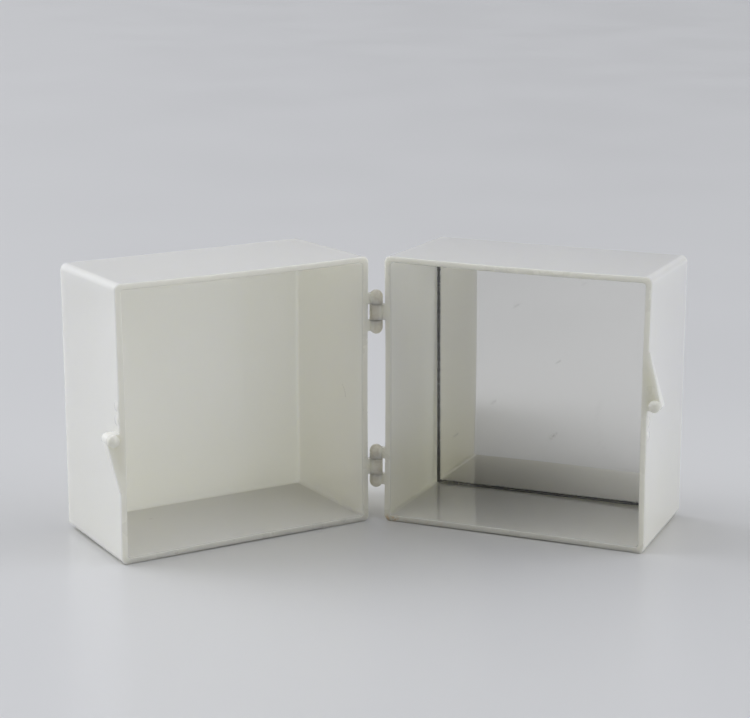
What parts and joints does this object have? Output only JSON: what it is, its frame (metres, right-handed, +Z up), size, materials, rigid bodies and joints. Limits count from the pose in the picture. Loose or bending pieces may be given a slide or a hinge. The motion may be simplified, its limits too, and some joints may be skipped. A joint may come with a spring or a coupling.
{
  "type": "hinged display box with mirror",
  "caption": "Square white plastic box that opens like a book on moulded hinges, with a snap catch and a mirror on the floor of one half, standing open on its side walls.",
  "frame": {"origin": "on the surface that the box stands on, at the middle of its footprint", "axes": "+Z up along the hinge axis; -Y to the front, where both mouths face, midway between the two halves; +X to the right, towards the half with the mirror"},
  "size_m": [0.1726, 0.0707, 0.0762],
  "materials": {
    "white_plastic": "milky, slightly translucent moulded plastic, glossy",
    "clear_glass": "clear, polished, with ground edges",
    "silver": "silvered, slightly worn along its edges",
    "backing_paint": "dark protective paint",
    "foam": "white double-sided foam tape"
  },
  "bodies": {
    "right_half": {"right_shell": "white_plastic", "mirror_glass": "clear_glass", "mirror_silvering": "silver", "mirror_backing": "backing_paint", "mirror_foam_pads": "foam"},
    "left_half": {"left_shell": "white_plastic"}
  },
  "joints": [
    {"name": "book_hinge", "type": "hinge", "parent": "right_half", "child": "left_half", "pos_m": [0, 0.00325, 0.0381], "axis": [0, 0, -1], "range_deg": [-125.6, 63]}
  ]
}
